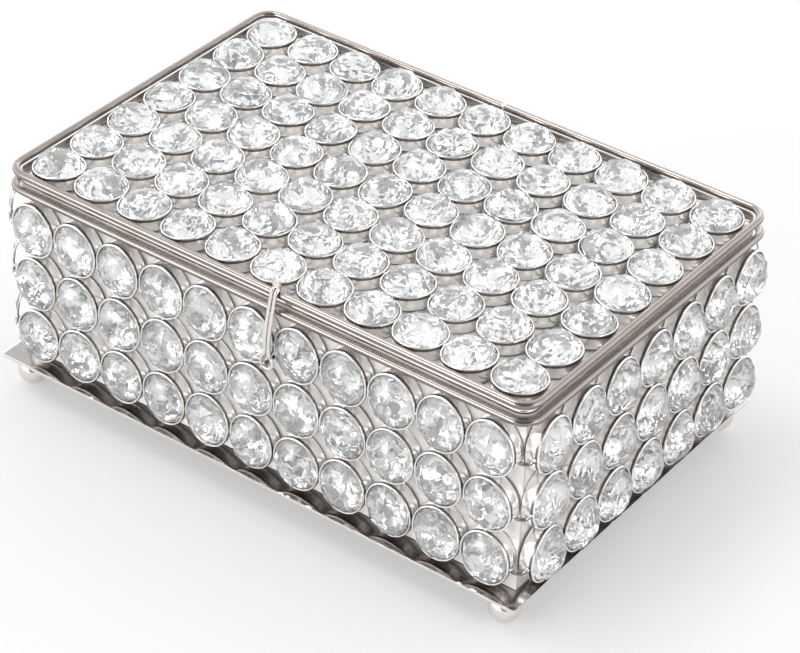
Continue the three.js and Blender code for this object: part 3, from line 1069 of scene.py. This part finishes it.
def add_hasp():
    pivot = Vector((middle("hasp").x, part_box("lid_wire")[0].y / MM + WIRE_R, middle("lid_wire").z))
    bottom = [(0, -HASP_REACH, EYE_Z - pivot.z - EYE)]
    knots = hasp_knots(-1, pivot.z) + bottom + hasp_knots(1, pivot.z)[::-1]
    place = Matrix.Translation(pivot)
    hasp = Heap().add(*swept(smooth_route(knots, 5), HASP_R, 14), place)
    tab_z = WIRE_R + WIRE_PLAY + HASP_R + 0.2
    upright = Matrix.Rotation(math.radians(TAB_TILT), 4, "X")
    tab_place = Matrix.Translation((0, TAB_Y, tab_z)) @ upright
    points = []
    for half, y in TAB_WIDTHS:
        thick = 0.5 if y < 3 else 0.4
        section = [(-half, -thick * 0.6), (-half * 0.8, -thick), (half * 0.8, -thick), (half, -thick * 0.6)]
        section += [(half, thick * 0.6), (half * 0.8, thick), (-half * 0.8, thick), (-half, thick * 0.6)]
        points += [(x, y, z) for x, z in section]
    faces = grid_faces(len(TAB_WIDTHS), 8, False, True)
    faces.append(list(range(8))[::-1])
    faces.append([(len(TAB_WIDTHS) - 1) * 8 + i for i in range(8)])
    hasp.add(points, faces, place @ tab_place)
    hasp.piece("hasp_wire", nickel_hasp, "hasp", "nickel_wire", ["hasp"], crease=45)
    return pivot


hasp_pivot = add_hasp()
print("hasp turns about", [round(c, 2) for c in hasp_pivot])


# %% [markdown]
# ## Stud
# The stud stands on the wall, in the gap between two rings, and its domed head keeps the
# eye from slipping off. It is one turned profile, laid on its side.

# %% The stud
def add_stud():
    low, high = (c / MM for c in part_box("hasp_stud"))
    length = high.y - low.y
    post, head = 0.6, 1.1
    profile = [(post, 0), (post, length - 1.6), (post + 0.12, length - 1.4), (head - 0.1, length - 1.15)]
    profile += [(head, length - 0.95), (head, length - 0.65), (head - 0.25, length - 0.3)]
    profile += [(head * 0.5, length - 0.06), (0.15, length)]
    centre = (low + high) / 2
    outward = Matrix.Rotation(math.pi / 2, 4, "X")
    place = Matrix.Translation((centre.x, high.y, centre.z)) @ outward
    Heap().add(*turned(profile, 24), place).piece(
        "hasp_post", nickel_wire, "case", "nickel_wire", ["hasp_stud"]
    )
    return length


print("stud length:", round(add_stud(), 1), "mm")

# %% [markdown]
# ## Velvet lining
# The inside is lined with short-pile velvet over thin foam and card. Each panel is a
# shallow pad: flat at the back, softly crowned in front, with edges that roll over. The
# pile is too fine to model, so the finish lightens the colour at grazing angles with sheen
# and mottles it where the pile leans different ways.

# %% The velvet finish
def finish_velvet():
    tree = Tree(bpy.data.materials.new("velvet_grey"))
    lean = tree.noise(28, 4, roughness=0.6)
    pile = tree.noise(2600, 2)
    shade = tree.blend(lean, colour(0.115, 0.11, 0.125), colour(0.21, 0.205, 0.225))
    shade = tree.blend(pile * 0.5, shade, colour(0.30, 0.29, 0.32))
    normal = tree.bump(pile + lean * 2, 0.5, 0.0006)
    return tree.surface(
        Base_Color=shade, Roughness=0.85 + 0.1 * pile, Sheen_Weight=0.9, Sheen_Roughness=0.35, Normal=normal
    )


velvet = finish_velvet()


# %% [markdown]
# ## Pads
# A padded panel could be simulated as cloth over foam. These are so shallow that the result
# would hardly differ from a height worked out directly: low at the edges, rising in a curve
# to a crown, with a faint ripple. Each pad is one row of the table below.

# %% The pads
PADS = {  # node, outward side, body, fill, crown
    "velvet_floor": ("lining_floor", (0, 0, 1), "case", 0.6, 0.55),
    "velvet_front": ("lining_front", (0, 1, 0), "case", 0.8, 0.4),
    "velvet_back": ("lining_back", (0, -1, 0), "case", 0.8, 0.4),
    "velvet_left": ("lining_left", (1, 0, 0), "case", 0.8, 0.4),
    "velvet_right": ("lining_right", (-1, 0, 0), "case", 0.8, 0.4),
    "velvet_lid": ("lid_lining", (0, 0, -1), "lid", 0.8, 0.4),
}
PAD_STEP = 4.0  # between the points of a pad
PAD_ROLL = 2.2  # how far in from the edge the roll reaches


def add_pad(name, node, outward, body, fill, crown):
    low, high = (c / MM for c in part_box(node))
    size = high - low
    axis = max(range(3), key=lambda k: abs(outward[k]))
    u, v = [k for k in range(3) if k != axis]
    columns, rows = max(12, round(size[u] / PAD_STEP)), max(8, round(size[v] / PAD_STEP))
    at_back = low[axis] if outward[axis] > 0 else high[axis]
    face, back = [], []
    for r in range(rows + 1):
        for c in range(columns + 1):
            p = Vector((0, 0, 0))
            p[u], p[v] = low[u] + size[u] * c / columns, low[v] + size[v] * r / rows
            edge_u, edge_v = min(c, columns - c) * size[u] / columns, min(r, rows - r) * size[v] / rows
            roll = 1 - math.exp(-min(edge_u, edge_v) / PAD_ROLL)
            soft = 1 - crown + crown * roll
            ripple = 0.12 * noise.noise(p * 0.05) * roll
            q = p.copy()
            q[axis] = at_back
            p[axis] = at_back + outward[axis] * size[axis] * (soft - 0.06 - ripple * crown)
            face.append(p)
            back.append(q)
    count, total = columns + 1, len(face)
    front_faces = grid_faces(rows + 1, count, False, False)
    back_faces = [[total + i for i in f[::-1]] for f in front_faces]
    rim = list(range(count)) + [r * count + columns for r in range(1, rows + 1)]
    rim += [rows * count + c for c in range(columns - 1, -1, -1)]
    rim += [r * count for r in range(rows - 1, 0, -1)]
    side_faces = [[b, a, a + total, b + total] for a, b in zip(rim, rim[1:] + rim[:1])]
    pad = Heap().add(face + back, front_faces + back_faces + side_faces)
    made = pad.piece(name, velvet, body, "velvet", [node], crease=60)


for name, row in PADS.items():
    add_pad(name, *row)
print("pads:", len(PADS))

# %% [markdown]
# ## Solder on the base
# The base plate is soldered to the lowest rings, and small drops are left on its edge.

# %% Drops on the base
DROP_SPOTS = 7
base_low, base_high = (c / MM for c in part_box("base_plate"))
drops = Heap()
for _ in range(DROP_SPOTS):
    x = chance.uniform(-base_high.x * 0.9, base_high.x * 0.9)
    size = (chance.uniform(0.8, 1.6), chance.uniform(0.3, 0.5), chance.uniform(0.3, 0.45))
    spot = Matrix.Translation((x, base_low.y + 0.35, base_high.z))
    drops.add(*blob(size, chance.uniform(0, 50)), spot)
drops.piece("solder_base_drops", solder, "case", "nickel_sheet", crease=60)
